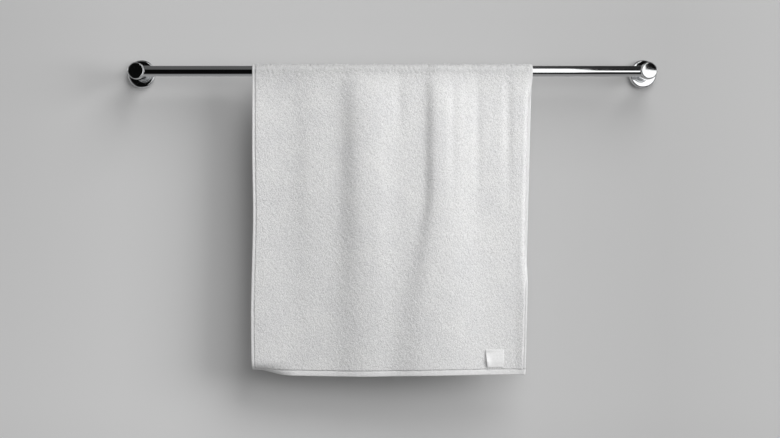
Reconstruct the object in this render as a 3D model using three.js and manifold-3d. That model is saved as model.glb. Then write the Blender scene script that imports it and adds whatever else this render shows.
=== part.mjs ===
// A wall-mounted drying rail: a round chrome bar held between two wall posts, with a terry hand towel over it.
//
// Millimetres. +X runs along the bar to the right, +Y points into the wall, +Z is up.
// The origin lies on the wall plane, midway between the posts, at the height of the bar's axis.
// "Out" below is the distance from the wall, which is -Y.

import * as THREE from "three";
import { mergeVertices } from "three/addons/utils/BufferGeometryUtils.js";
import Module from "manifold-3d";

// ---------------------------------------------------------------- driving dimensions

const FIT = 0.3; // gap between two pieces that touch on the real object

const RAIL_SPAN = 914; // post centre to post centre, a nominal 36 in rail
const STANDOFF = 70; // wall to bar axis
const BAR_R = 9.5; // 19 mm bar
const BAR_WALL = 1;

const PLATE_R = 23;
const PLATE_THICKNESS = 3;
const SPIGOT_R = 4.7;
const SPIGOT_OUT = 21; // how far from the wall the spigot reaches
const GROOVE_DEPTH = 0.9; // of the spigot's groove, which has sloping sides
const GROOVE_HALF = 1.5; // half the width of its floor
const CHAMFER = 0.6;

const NECK_R = 9;
const HEAD_R = 15;
const HEAD_LENGTH = 34;
const HEAD_FLARE = 2.5; // radius of the hollow curve between the neck and the head
const HEAD_ROUND = 2.5; // rounding of the head's two edges

const BUSH_R = 11;
const BUSH_INNER_R = BAR_R + FIT;
const BUSH_FLOOR = 1.5;
const SOCKET_R = BUSH_R + FIT;
const SOCKET_DEPTH = 5; // how far past the post's centre the blind socket reaches
const SOCKET_MOUTH = 9.5; // how far before the post's centre the bush starts

const PLUG_FLANGE = 1.5;
const PLUG_SPIGOT = 10;

const WALL_SCREW_R = 2.2;
const WALL_SCREW_HEAD_R = 4.4;
const WALL_SCREW_LENGTH = 38;
const WALL_SCREW_POINT = 5; // length of its tapered point
const RECESS_LENGTH = 3.6; // of each arm of the cross recess
const RECESS_WIDTH = 0.9;
const RECESS_DEPTH = 1.2;
const WALL_SCREW_OFFSET = 15.5; // above and below the plate's centre

const SET_SCREW_R = 2.5;
const SET_SCREW_OUT = 13; // distance from the wall
const SET_SCREW_TIP_R = 4.3; // where its cup point ends, in the spigot's groove
const SET_SCREW_TOP_R = 8.6;
const HEX_R = 1.45; // corner radius of its hexagon socket

const COVER_R = 25;
const COVER_DEPTH = 9;
const COVER_SKIN = 1.2;
const COVER_ROUND = 2; // inner radius of the cover's rounded rim
const COVER_HUB = 3.4; // length of the thick hub round the neck
const COVER_HUB_WALL = 3.2;
const RING_R = 0.75; // radius of the grip ring's section

const TOWEL_WIDTH = 500;
const TOWEL_LENGTH = 1000;
const TOWEL_THICKNESS = 2.2;
const HEM_THICKNESS = 1.8;
const FRONT_HANG = 553; // from the top of the towel to its front hem
const SIDE_HEM = 6;
const END_HEM = 10;
const DRAWN_IN = 14; // how far the folds draw the right edge in at the front hem
const HINGE_GAP = 2; // room below the bar's axis for the front drop to swing

const LABEL_WIDTH = 34;
const LABEL_HEIGHT = 33;
const LABEL_THICKNESS = 0.8;
const LABEL_CENTRE = 191; // from the towel's middle
const LABEL_ABOVE_HEM = 2;

const ROUND = 32; // sides of a turned piece
const SMALL_ROUND = 16; // sides of a screw

// ---------------------------------------------------------------- worked out from those

const postX = RAIL_SPAN / 2;
const bushFloorOut = SOCKET_DEPTH - FIT;
const plugFace = bushFloorOut - BUSH_FLOOR - FIT;
const barHalf = postX + plugFace - PLUG_FLANGE - FIT;
const towelMid = BAR_R + FIT + TOWEL_THICKNESS / 2; // bar axis to the middle of the cloth
const towelOuter = BAR_R + FIT + TOWEL_THICKNESS;
const frontDrop = FRONT_HANG - towelOuter; // below the bar's axis
const backDrop = TOWEL_LENGTH - frontDrop - Math.PI * towelMid;
const terryHalf = TOWEL_WIDTH / 2 - SIDE_HEM - FIT;

// ---------------------------------------------------------------- materials

const chrome = new THREE.MeshStandardMaterial({ color: 0xd8dadc, metalness: 1, roughness: 0.06 });
const zinc = new THREE.MeshStandardMaterial({ color: 0x9a9da0, metalness: 1, roughness: 0.4 });
const steel = new THREE.MeshStandardMaterial({ color: 0x5c5e60, metalness: 1, roughness: 0.35 });
const nylon = new THREE.MeshStandardMaterial({ color: 0x1c1c1e, metalness: 0, roughness: 0.5 });
const rubber = new THREE.MeshStandardMaterial({ color: 0x101010, metalness: 0, roughness: 0.8 });
const terry = new THREE.MeshStandardMaterial({ color: 0xe9e9e8, metalness: 0, roughness: 1 });
const flatWeave = new THREE.MeshStandardMaterial({ color: 0xf0f0ef, metalness: 0, roughness: 0.9 });
const satin = new THREE.MeshStandardMaterial({ color: 0xf5f5f4, metalness: 0, roughness: 0.6 });

// ---------------------------------------------------------------- solids

const wasm = await Module();
wasm.setup();

function solidOf(geometry) {
  const bare = geometry.clone();
  bare.deleteAttribute("normal");
  bare.deleteAttribute("uv");
  const merged = mergeVertices(bare, 1e-4);
  const mesh = new wasm.Mesh({
    numProp: 3,
    vertProperties: merged.attributes.position.array,
    triVerts: new Uint32Array(merged.index.array),
  });
  return new wasm.Manifold(mesh);
}

function geometryOf(solid) {
  const mesh = solid.getMesh();
  const geometry = new THREE.BufferGeometry();
  geometry.setAttribute("position", new THREE.BufferAttribute(mesh.vertProperties, 3));
  geometry.setIndex(new THREE.BufferAttribute(mesh.triVerts, 1));
  geometry.computeVertexNormals();
  return geometry;
}

function cut(geometry, tools) {
  let solid = solidOf(geometry);
  for (const tool of tools) solid = solid.subtract(solidOf(tool));
  return geometryOf(solid);
}

// A solid turned about the wall's normal. Each point is [radius, distance out from the wall].
function turnedOutward(points, sides = ROUND) {
  const profile = points.map(([radius, out]) => new THREE.Vector2(radius, -out)).reverse();
  return new THREE.LatheGeometry(profile, sides);
}

// A solid turned about the bar's axis. Each point is [radius, distance along +X].
function turnedAlongBar(points, sides = ROUND) {
  const profile = points.map(([radius, along]) => new THREE.Vector2(radius, along));
  return new THREE.LatheGeometry(profile, sides).rotateZ(-Math.PI / 2);
}

// Points of an arc of a turned profile, from one angle to another, in degrees.
function arc(radius, out, size, from, to, steps = 4) {
  return Array.from({ length: steps + 1 }, (_, i) => {
    const angle = THREE.MathUtils.degToRad(from + ((to - from) * i) / steps);
    return [radius + size * Math.cos(angle), out + size * Math.sin(angle)];
  });
}

function piece(name, geometry, material) {
  const mesh = new THREE.Mesh(geometry, material);
  mesh.name = name;
  return mesh;
}

// ---------------------------------------------------------------- wall fittings

// A round plate screwed to the wall, with a grooved spigot that the post slides onto.
function wallPlate() {
  const grooveR = SPIGOT_R - GROOVE_DEPTH;
  const body = turnedOutward([
    [0, 0],
    [PLATE_R, 0],
    [PLATE_R, PLATE_THICKNESS - CHAMFER],
    [PLATE_R - CHAMFER, PLATE_THICKNESS],
    [SPIGOT_R, PLATE_THICKNESS],
    [SPIGOT_R, SET_SCREW_OUT - GROOVE_HALF - GROOVE_DEPTH],
    [grooveR, SET_SCREW_OUT - GROOVE_HALF],
    [grooveR, SET_SCREW_OUT + GROOVE_HALF],
    [SPIGOT_R, SET_SCREW_OUT + GROOVE_HALF + GROOVE_DEPTH],
    [SPIGOT_R, SPIGOT_OUT - CHAMFER],
    [SPIGOT_R - CHAMFER, SPIGOT_OUT],
    [0, SPIGOT_OUT],
  ]);
  const holes = [-1, 1].map((side) => {
    const hole = turnedOutward(
      [
        [0, -1],
        [WALL_SCREW_R + FIT, -1],
        [WALL_SCREW_R + FIT, PLATE_THICKNESS - WALL_SCREW_HEAD_R + WALL_SCREW_R],
        [WALL_SCREW_HEAD_R + FIT, PLATE_THICKNESS],
        [WALL_SCREW_HEAD_R + FIT, PLATE_THICKNESS + 1],
        [0, PLATE_THICKNESS + 1],
      ],
      SMALL_ROUND,
    );
    return hole.translate(0, 0, side * WALL_SCREW_OFFSET);
  });
  return cut(body, holes);
}

// A countersunk wood screw with a cross recess, driven home: its tip is inside the wall.
function wallScrew() {
  const top = PLATE_THICKNESS - 0.1;
  const tip = top - WALL_SCREW_LENGTH;
  const body = turnedOutward(
    [
      [0, tip],
      [WALL_SCREW_R, tip + WALL_SCREW_POINT],
      [WALL_SCREW_R, top - WALL_SCREW_HEAD_R + WALL_SCREW_R],
      [WALL_SCREW_HEAD_R, top],
      [0, top],
    ],
    SMALL_ROUND,
  );
  const slots = [
    new THREE.BoxGeometry(RECESS_LENGTH, 2 * RECESS_DEPTH, RECESS_WIDTH),
    new THREE.BoxGeometry(RECESS_WIDTH, 2 * RECESS_DEPTH, RECESS_LENGTH),
  ];
  return cut(
    body,
    slots.map((slot) => slot.translate(0, -top, 0)),
  );
}

// The post: a straight neck that flares into a short cylindrical head, with a blind socket for the bar's end.
function post(side) {
  const headBack = STANDOFF - HEAD_LENGTH / 2;
  const headFront = STANDOFF + HEAD_LENGTH / 2;
  const body = turnedOutward([
    [0, PLATE_THICKNESS + FIT],
    [NECK_R, PLATE_THICKNESS + FIT],
    ...arc(NECK_R + HEAD_FLARE, headBack - HEAD_FLARE, HEAD_FLARE, 180, 90),
    ...arc(HEAD_R - HEAD_ROUND, headBack + HEAD_ROUND, HEAD_ROUND, -90, 0, 3),
    ...arc(HEAD_R - HEAD_ROUND, headFront - HEAD_ROUND, HEAD_ROUND, 0, 90, 3),
    [0, headFront],
  ]);
  const recess = turnedOutward([
    [0, 0],
    [SPIGOT_R + FIT, 0],
    [SPIGOT_R + FIT, SPIGOT_OUT + 1],
    [0, SPIGOT_OUT + 1],
  ]);
  const socket = turnedAlongBar([
    [0, -2 * HEAD_R],
    [SOCKET_R, -2 * HEAD_R],
    [SOCKET_R, SOCKET_DEPTH],
    [0, SOCKET_DEPTH],
  ]);
  if (side < 0) socket.rotateZ(Math.PI);
  socket.translate(0, -STANDOFF, 0);
  const tapped = new THREE.CylinderGeometry(SET_SCREW_R + FIT, SET_SCREW_R + FIT, NECK_R, SMALL_ROUND);
  tapped.rotateX(Math.PI / 2).translate(0, -SET_SCREW_OUT, -NECK_R);
  return cut(body, [recess, socket, tapped]);
}

// A socket set screw in the underside of the neck, its point in the spigot's groove.
function setScrew() {
  const body = turnedOutward(
    [
      [0, SET_SCREW_TIP_R],
      [SET_SCREW_R - CHAMFER, SET_SCREW_TIP_R],
      [SET_SCREW_R, SET_SCREW_TIP_R + CHAMFER],
      [SET_SCREW_R, SET_SCREW_TOP_R - CHAMFER],
      [SET_SCREW_R - CHAMFER, SET_SCREW_TOP_R],
      [0, SET_SCREW_TOP_R],
    ],
    SMALL_ROUND,
  );
  const hexagon = new THREE.CylinderGeometry(HEX_R, HEX_R, SET_SCREW_TOP_R - SET_SCREW_TIP_R, 6);
  hexagon.translate(0, -SET_SCREW_TOP_R, 0);
  return cut(body, [hexagon]).rotateX(Math.PI / 2).translate(0, -SET_SCREW_OUT, 0);
}

// A nylon cup in the post's socket. The bar's end turns in it.
function socketBush(side) {
  const bush = turnedAlongBar([
    [0, bushFloorOut - BUSH_FLOOR],
    [BUSH_INNER_R, bushFloorOut - BUSH_FLOOR],
    [BUSH_INNER_R, -SOCKET_MOUTH],
    [BUSH_R, -SOCKET_MOUTH],
    [BUSH_R, bushFloorOut],
    [0, bushFloorOut],
  ]);
  if (side < 0) bush.rotateZ(Math.PI);
  return bush.translate(0, -STANDOFF, 0);
}

// A dished chrome cover that hides the wall plate. Its hub is grooved for the grip ring.
function coverFlange() {
  const face = FIT + COVER_DEPTH;
  const hubInner = NECK_R + FIT;
  const hubOuter = hubInner + COVER_HUB_WALL;
  const grooveR = hubInner + 2 * RING_R + FIT;
  const inside = COVER_R - COVER_SKIN;
  const grooveBack = face - COVER_HUB / 2 - RING_R - FIT;
  const grooveFront = face - COVER_HUB / 2 + RING_R + FIT;
  return turnedOutward([
    [hubInner, face],
    [hubInner, grooveFront],
    [grooveR, grooveFront],
    [grooveR, grooveBack],
    [hubInner, grooveBack],
    [hubInner, face - COVER_HUB],
    [hubOuter, face - COVER_HUB],
    [hubOuter, face - COVER_SKIN],
    ...arc(inside - COVER_ROUND, face - COVER_SKIN - COVER_ROUND, COVER_ROUND, 90, 0),
    [inside, FIT],
    [COVER_R, FIT],
    ...arc(inside - COVER_ROUND, face - COVER_SKIN - COVER_ROUND, COVER_ROUND + COVER_SKIN, 0, 90),
    [hubInner, face],
  ]);
}

// The rubber ring in the cover's hub. It grips the neck, so the cover stays where it is pushed.
function gripRing() {
  const middle = NECK_R + FIT + RING_R;
  const ring = new THREE.TorusGeometry(middle, RING_R, 6, 24);
  return ring.rotateX(Math.PI / 2).translate(0, -(FIT + COVER_DEPTH - COVER_HUB / 2), 0);
}

// ---------------------------------------------------------------- bar

function barTube() {
  const inner = BAR_R - BAR_WALL;
  return turnedAlongBar([
    [inner, -barHalf],
    [BAR_R, -barHalf],
    [BAR_R, barHalf],
    [inner, barHalf],
    [inner, -barHalf],
  ]).translate(0, -STANDOFF, 0);
}

// A nylon plug pressed into the bar's end. Its flange bears on the floor of the bush.
function barPlug(side) {
  const face = postX + plugFace;
  const spigotR = BAR_R - BAR_WALL - FIT;
  const spigotEnd = face - PLUG_FLANGE - PLUG_SPIGOT;
  const plug = turnedAlongBar([
    [0, spigotEnd],
    [spigotR - CHAMFER, spigotEnd],
    [spigotR, spigotEnd + CHAMFER],
    [spigotR, face - PLUG_FLANGE],
    [BAR_R, face - PLUG_FLANGE],
    [BAR_R, face - CHAMFER],
    [BAR_R - CHAMFER, face],
    [0, face],
  ]);
  if (side < 0) plug.rotateZ(Math.PI);
  return plug.translate(0, -STANDOFF, 0);
}

// ---------------------------------------------------------------- towel

const { smoothstep, lerp } = THREE.MathUtils;
const step = (value, centre, width) => (1 + Math.tanh((value - centre) / width)) / 2;

// Each fold of the front drop is a smooth step out from the wall or back to it: its place across the cloth,
// half its width and its height, first near the bar and then at the front hem.
const FRONT_FOLDS = [
  { top: [-222, 25, -3.5], hem: [-205, 38, -6] },
  { top: [-163, 18, 5], hem: [-163, 18, 1] },
  { top: [-78, 17, 13.5], hem: [-80, 28, 12.5] },
  { top: [-13, 18, -7], hem: [-13, 16, -2] },
  { top: [66, 8, 9], hem: [24, 26, 11] },
  { top: [124, 28, -15], hem: [140, 40, -15] },
  { top: [226, 9, 0], hem: [226, 9, 4] },
];

// How far the front drop stands out from its hanging plane, x from the towel's middle, depth below the bar.
function frontFold(x, depth) {
  const low = smoothstep(depth, 200, 500);
  const opening = 1 - Math.exp(-((depth / 34) ** 1.5));
  let out = lerp(4, 7, low) * smoothstep(depth, 0, 250);
  for (const { top, hem } of FRONT_FOLDS) {
    const [centre, width, height] = top.map((value, i) => lerp(value, hem[i], low));
    out += opening * height * step(x, centre, width);
  }
  return out;
}

// The back drop stands towards the wall in two flat waves.
function backFold(x, depth) {
  return smoothstep(depth, 0, 120) * (3 + 3 * Math.cos(((x - 30) * Math.PI) / 120));
}

// The folds take up some of the cloth's width, so the right side hangs further in towards the bottom.
function hangingX(x, depth) {
  const right = Math.max(0, x) / (TOWEL_WIDTH / 2);
  return x - DRAWN_IN * right * (depth / frontDrop);
}

// A strip of hanging cloth: a box whose points are moved onto the folds.
// face is -1 in front of the bar and 1 behind it, and lift moves the strip off the cloth's middle surface.
function clothStrip({ fromX, toX, fromDepth, toDepth, thickness, face, fold, across, down, lift = 0 }) {
  const strip = new THREE.BoxGeometry(toX - fromX, thickness, toDepth - fromDepth, across, 1, down);
  strip.translate((fromX + toX) / 2, 0, -(fromDepth + toDepth) / 2);
  const points = strip.attributes.position;
  const plane = -STANDOFF + face * (towelMid + lift);
  for (let i = 0; i < points.count; i++) {
    const depth = -points.getZ(i);
    const x = points.getX(i);
    points.setXYZ(i, hangingX(x, depth), plane + points.getY(i) + face * fold(x, depth), -depth);
  }
  return strip;
}

// The cloth over the bar: half a ring, between two widths.
function saddle(fromX, toX) {
  const section = new THREE.Shape();
  section.absarc(0, 0, towelOuter, 0, Math.PI, false);
  section.absarc(0, 0, BAR_R + FIT, Math.PI, 0, true);
  section.closePath();
  const extrusion = { depth: toX - fromX, bevelEnabled: false, curveSegments: 16 };
  const cloth = new THREE.ExtrudeGeometry(section, extrusion);
  // The section's plane becomes Y-Z and its depth runs along +X.
  cloth.applyMatrix4(
    new THREE.Matrix4().makeBasis(
      new THREE.Vector3(0, 1, 0),
      new THREE.Vector3(0, 0, 1),
      new THREE.Vector3(1, 0, 0),
    ),
  );
  return cloth.translate(fromX, -STANDOFF, 0);
}

// Terry, two side hems and an end hem of one drop, each a strip of its own. across is the cells in its width.
function drop(name, { face, fold, length, top, across }) {
  const half = TOWEL_WIDTH / 2;
  const shared = { face, fold, fromDepth: top };
  const terryEnd = length - END_HEM - FIT;
  return [
    piece(
      `towel_${name}_drop`,
      clothStrip({
        ...shared,
        fromX: -terryHalf,
        toX: terryHalf,
        toDepth: terryEnd,
        thickness: TOWEL_THICKNESS,
        across,
        down: 10,
      }),
      terry,
    ),
    ...[-1, 1].map((side) =>
      piece(
        `${name}_${side < 0 ? "left" : "right"}_hem`,
        clothStrip({
          ...shared,
          fromX: side < 0 ? -half : half - SIDE_HEM,
          toX: side < 0 ? SIDE_HEM - half : half,
          toDepth: terryEnd,
          thickness: HEM_THICKNESS,
          across: 1,
          down: 10,
        }),
        flatWeave,
      ),
    ),
    piece(
      `${name}_end_hem`,
      clothStrip({
        ...shared,
        fromX: -half,
        toX: half,
        fromDepth: length - END_HEM,
        toDepth: length,
        thickness: HEM_THICKNESS,
        across,
        down: 1,
      }),
      flatWeave,
    ),
  ];
}

// A small blank woven label that lies on the front drop, just above its end hem.
function label() {
  const toDepth = frontDrop - END_HEM - LABEL_ABOVE_HEM;
  return clothStrip({
    fromX: LABEL_CENTRE - LABEL_WIDTH / 2,
    toX: LABEL_CENTRE + LABEL_WIDTH / 2,
    fromDepth: toDepth - LABEL_HEIGHT,
    toDepth,
    thickness: LABEL_THICKNESS,
    face: -1,
    fold: frontFold,
    lift: TOWEL_THICKNESS / 2 + LABEL_THICKNESS / 2 + 0.6,
    across: 3,
    down: 2,
  });
}

// ---------------------------------------------------------------- assembly

const rail = new THREE.Group();

for (const side of [-1, 1]) {
  const name = side < 0 ? "left" : "right";
  const fittings = new THREE.Group();
  fittings.position.x = side * postX;
  fittings.add(
    piece(`${name}_wall_plate`, wallPlate(), zinc),
    piece(`${name}_upper_wall_screw`, wallScrew().translate(0, 0, WALL_SCREW_OFFSET), zinc),
    piece(`${name}_lower_wall_screw`, wallScrew().translate(0, 0, -WALL_SCREW_OFFSET), zinc),
    piece(`${name}_post`, post(side), chrome),
    piece(`${name}_set_screw`, setScrew(), steel),
    piece(`${name}_socket_bush`, socketBush(side), nylon),
    piece(`${name}_cover_flange`, coverFlange(), chrome),
    piece(`${name}_cover_grip_ring`, gripRing(), rubber),
  );
  rail.add(fittings);
}

rail.add(
  piece("bar_tube", barTube(), chrome),
  piece("left_bar_plug", barPlug(-1), nylon),
  piece("right_bar_plug", barPlug(1), nylon),
);

rail.add(
  piece("towel_saddle", saddle(-terryHalf, terryHalf), terry),
  piece("saddle_left_hem", saddle(-TOWEL_WIDTH / 2, SIDE_HEM - TOWEL_WIDTH / 2), flatWeave),
  piece("saddle_right_hem", saddle(TOWEL_WIDTH / 2 - SIDE_HEM, TOWEL_WIDTH / 2), flatWeave),
  ...drop("front", { face: -1, fold: frontFold, length: frontDrop, top: HINGE_GAP, across: 44 }),
  ...drop("back", { face: 1, fold: backFold, length: backDrop, top: FIT, across: 30 }),
  piece("towel_label", label(), satin),
);

export default rail;
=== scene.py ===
"""The looks of a wall-mounted drying rail with a terry hand towel over its chrome bar.

Metres. +X runs along the bar to the right, +Y points into the wall, +Z is up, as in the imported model.
"""

import math

import bpy
import numpy as np
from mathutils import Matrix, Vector


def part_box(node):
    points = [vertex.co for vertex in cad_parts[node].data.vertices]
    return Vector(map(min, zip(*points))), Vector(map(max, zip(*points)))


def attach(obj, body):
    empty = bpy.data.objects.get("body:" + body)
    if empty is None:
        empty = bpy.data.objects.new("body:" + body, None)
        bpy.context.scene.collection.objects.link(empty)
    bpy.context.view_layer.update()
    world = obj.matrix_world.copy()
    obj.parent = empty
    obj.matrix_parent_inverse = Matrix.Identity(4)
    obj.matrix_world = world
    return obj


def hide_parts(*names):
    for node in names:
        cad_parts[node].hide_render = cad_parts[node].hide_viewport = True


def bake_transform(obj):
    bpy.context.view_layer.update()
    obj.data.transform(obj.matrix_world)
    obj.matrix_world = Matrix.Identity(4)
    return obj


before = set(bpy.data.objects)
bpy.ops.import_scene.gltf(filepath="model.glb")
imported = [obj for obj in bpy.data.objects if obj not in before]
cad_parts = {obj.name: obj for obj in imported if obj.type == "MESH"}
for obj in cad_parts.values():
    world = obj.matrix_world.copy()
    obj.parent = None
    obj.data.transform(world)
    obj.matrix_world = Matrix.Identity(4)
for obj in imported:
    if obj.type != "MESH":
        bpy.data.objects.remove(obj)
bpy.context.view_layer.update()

MM = 0.001

# ---------------------------------------------------------------- sizes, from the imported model

BAR_LOW, BAR_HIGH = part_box("bar_tube")
BAR_R = (BAR_HIGH.z - BAR_LOW.z) / 2
BAR_Y = (BAR_HIGH.y + BAR_LOW.y) / 2
SADDLE_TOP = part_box("towel_saddle")[1].z
HALF_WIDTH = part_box("saddle_right_hem")[1].x
SIDE_HEM = HALF_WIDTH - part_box("saddle_right_hem")[0].x
END_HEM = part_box("front_end_hem")[1].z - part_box("front_end_hem")[0].z
THICKNESS = SADDLE_TOP - BAR_R - 0.3 * MM
CLOTH_R = SADDLE_TOP - THICKNESS / 2
FRONT_DROP = -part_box("front_end_hem")[0].z
BACK_DROP = -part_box("back_end_hem")[0].z
ARC = math.pi * CLOTH_R
LENGTH = FRONT_DROP + ARC + BACK_DROP
LABEL_LOW, LABEL_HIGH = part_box("towel_label")

# ---------------------------------------------------------------- the cloth's shape

DRAWN_IN = 14 * MM  # how far the right edge hangs in at the front hem
# The front's right edge curls back. A bend is 1 / radius, in metres. The curl comes and goes between depths.
CURL_LENGTH, CURL_BEND = 15 * MM, 130
CURL_BEGINS, CURL_ENDS = (0, 60 * MM), (300 * MM, 400 * MM)
# The front's bottom left corner is rolled under: fully near the left edge, and not at all beyond the width.
ROLL_LENGTH, ROLL_BEND = 26 * MM, 62
ROLL_FULL, ROLL_WIDTH = 8 * MM, 80 * MM
# The front's left edge sways in and out: depth, half height and distance in mm.
LEFT_SWAY = [(255, 70, 1.7), (440, 80, -1.8)]
SWAY_WIDTH = 100 * MM
# The front hem hangs lower in one place, and the cloth above it follows between two depths.
SAG, SAG_CENTRE, SAG_WIDTH = 3.6 * MM, -85 * MM, 145 * MM
SAG_DEPTHS = (300 * MM, 540 * MM)
TINY = 0.5 * MM  # a step along the cloth for finding its directions
PILE_SLANT = math.radians(37)  # the pile's rows of tufts run down to the right, at right angles to this
PILE_STRETCH = 1.5  # how much longer its tufts are along those rows
SEED = 7


def smooth(value, low, high):
    """0 below low, 1 above high, and a smooth rise between them."""
    t = np.clip((value - low) / (high - low), 0, 1)
    return t * t * (3 - 2 * t)


def step(value, centre, width):
    return (1 + np.tanh((value - centre) / width)) / 2


def bell(value, centre, width):
    return np.exp(-(((value - centre) / width) ** 2))


def mix(a, b, t):
    return a + (b - a) * t


def curl(excess, curvature):
    """How far a length of cloth reaches on, and how far back, once it bends back with this curvature."""
    turn = curvature * excess
    reach = excess * np.sinc(turn / np.pi)
    back = excess * turn / 2 * np.sinc(turn / (2 * np.pi)) ** 2
    return reach, back


# Each fold of the front drop is a smooth step out from the wall or back to it: its place across the cloth,
# half its width and its height in mm, first near the bar and then at the front hem. The CAD has the same.
FRONT_FOLDS = [
    ((-222, 25, -3.5), (-205, 38, -6)),
    ((-163, 18, 5), (-163, 18, 1)),
    ((-78, 17, 13.5), (-80, 28, 12.5)),
    ((-13, 18, -7), (-13, 16, -2)),
    ((66, 8, 9), (24, 26, 11)),
    ((124, 28, -15), (140, 40, -15)),
    ((226, 9, 0), (226, 9, 4)),
]
# Shallow hollows between the folds near the bar: place, half width, depth and reach down the cloth in mm.
RIPPLES = [(12, 10, 2.0, 140), (107, 8, 1.7, 300), (151, 8, 1.7, 300), (206, 9, 2.3, 300)]
# All in mm, with depths below the bar. Between two depths, the folds move from their first places to their
# second. A share of each fold is open at the bar, and the rest opens soon below it.
FOLDS_MOVE = (200, 500)
OPEN_AT_BAR, OPENING_DEPTH, OPENING_POWER = 0.25, 34, 1.5
# How far out the whole front stands: the open share of the first at the bar, then the others high and low on
# it, with a smooth change from the first down to STAND_DEPTH.
STAND_AT_BAR, STAND_HIGH, STAND_LOW, STAND_DEPTH = 3.5, 4, 7, 250
# The back drop is one shallow wave.
BACK_WAVE, BACK_WAVE_LENGTH, BACK_WAVE_CREST, BACK_DEPTH = 3, 240, 30, 120


def front_fold(x, depth):
    """How far the front drop stands out from its hanging plane, in metres."""
    x, depth = x / MM, depth / MM
    low = smooth(depth, *FOLDS_MOVE)
    below = np.clip(depth, 0, None)
    opening = 1 - (1 - OPEN_AT_BAR) * np.exp(-((below / OPENING_DEPTH) ** OPENING_POWER))
    stand = mix(STAND_HIGH, STAND_LOW, low)
    out = mix(OPEN_AT_BAR * STAND_AT_BAR, stand, smooth(depth, 0, STAND_DEPTH))
    for near_bar, at_hem in FRONT_FOLDS:
        centre, width, height = (mix(a, b, low) for a, b in zip(near_bar, at_hem))
        out = out + opening * height * step(x, centre, width)
    for centre, width, size, reach in RIPPLES:
        out = out - opening * (1 - smooth(depth, 0.35 * reach, reach)) * size * bell(x, centre, width)
    return MM * out


def back_fold(x, depth):
    """How far the back drop stands towards the wall, in metres."""
    wave = BACK_WAVE * (1 + np.cos((x / MM - BACK_WAVE_CREST) * math.tau / BACK_WAVE_LENGTH))
    return MM * smooth(depth / MM, 0, BACK_DEPTH) * wave


def along_bar(u, depth_front, depth):
    """Where the cloth stands along the bar, and how far its right edge curls back towards the wall."""
    curled = smooth(depth_front, *CURL_BEGINS) * (1 - smooth(depth_front, *CURL_ENDS))
    excess = np.clip(u - (HALF_WIDTH - CURL_LENGTH), 0, None)
    reach, tucked = curl(excess, CURL_BEND * curled)
    x = u - excess + reach
    x = x - DRAWN_IN * np.clip(x, 0, None) / HALF_WIDTH * depth / FRONT_DROP
    sway = sum(size * MM * bell(depth_front / MM, at, half) for at, half, size in LEFT_SWAY)
    return x + sway * (1 - smooth(u, -HALF_WIDTH, -HALF_WIDTH + SWAY_WIDTH)), tucked


def downwards(u, depth_front):
    """How far down the front hangs, and how far its bottom left corner is rolled under."""
    rolled = 1 - smooth(u, -HALF_WIDTH + ROLL_FULL, -HALF_WIDTH + ROLL_WIDTH)
    below = np.clip(depth_front - (FRONT_DROP - ROLL_LENGTH), 0, None)
    reach, under = curl(below, ROLL_BEND * rolled)
    sag = SAG * bell(u, SAG_CENTRE, SAG_WIDTH) * smooth(depth_front, *SAG_DEPTHS)
    return depth_front - below + reach + sag, under


def cloth(u, s):
    """The middle of the cloth. u runs across it from its middle, and s along it from the front hem's edge,
    up over the bar and down to the back hem's edge."""
    depth_front = FRONT_DROP - s
    depth_back = s - FRONT_DROP - ARC
    front, back = depth_front >= 0, depth_back > 0
    depth = np.where(front, depth_front, np.where(back, depth_back, 0))

    x, tucked = along_bar(u, depth_front, depth)
    hang, under = downwards(u, depth_front)
    hang = np.where(front, hang, depth)
    angle = np.clip((s - FRONT_DROP) / CLOTH_R, 0, math.pi)
    front_out = front_fold(x, depth)
    fold = np.where(front, -front_out + tucked + under, back_fold(x, depth))
    radius = CLOTH_R + front_out * (1 - smooth(angle, 0, math.radians(75)))
    y = BAR_Y + np.where(front | back, fold - CLOTH_R * np.cos(angle), -radius * np.cos(angle))
    z = np.where(front | back, -hang, radius * np.sin(angle))
    return np.stack([x, y, z], -1)


def unit(vectors):
    return vectors / np.linalg.norm(vectors, axis=-1, keepdims=True)


def cloth_frame(u, s):
    """Points and outward normals of the cloth's middle."""
    across = cloth(u + TINY, s) - cloth(u - TINY, s)
    along = cloth(u, s + TINY) - cloth(u, s - TINY)
    return cloth(u, s), unit(np.cross(across, along))


def spread(low, high, spacing, ratio):
    """Evenly spaced values, with a count that the coarse side's ratio divides."""
    count = max(1, round((high - low) / spacing / ratio)) * ratio
    return np.linspace(low, high, count + 1)


def new_mesh(name, points, faces, uvs=None, smooth_shading=True):
    mesh = bpy.data.meshes.new(name)
    mesh.from_pydata(np.asarray(points).tolist(), [], faces)
    if uvs is not None:
        index = np.zeros(len(mesh.loops), int)
        mesh.loops.foreach_get("vertex_index", index)
        layer = mesh.uv_layers.new(name="UVMap")
        layer.data.foreach_set("uv", np.asarray(uvs)[index].astype(np.float32).ravel())
    mesh.polygons.foreach_set("use_smooth", [smooth_shading] * len(mesh.polygons))
    mesh.update()
    made = bpy.data.objects.new(name, mesh)
    bpy.context.scene.collection.objects.link(made)
    return made


def edge_loop(rows, cols):
    """Indices round a grid's edge, anticlockwise from its first corner."""
    grid = np.arange(rows * cols).reshape(rows, cols)
    loop = [*grid[0, :-1], *grid[:-1, -1], *grid[-1, :0:-1], *grid[:0:-1, 0]]
    return [int(i) for i in loop]


def grid_quads(rows, cols, offset, turned):
    grid = offset + np.arange(rows * cols).reshape(rows, cols)
    corners = [grid[:-1, :-1], grid[:-1, 1:], grid[1:, 1:], grid[1:, :-1]]
    if turned:
        corners.reverse()
    return np.stack([c.ravel() for c in corners], 1).tolist()


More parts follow.
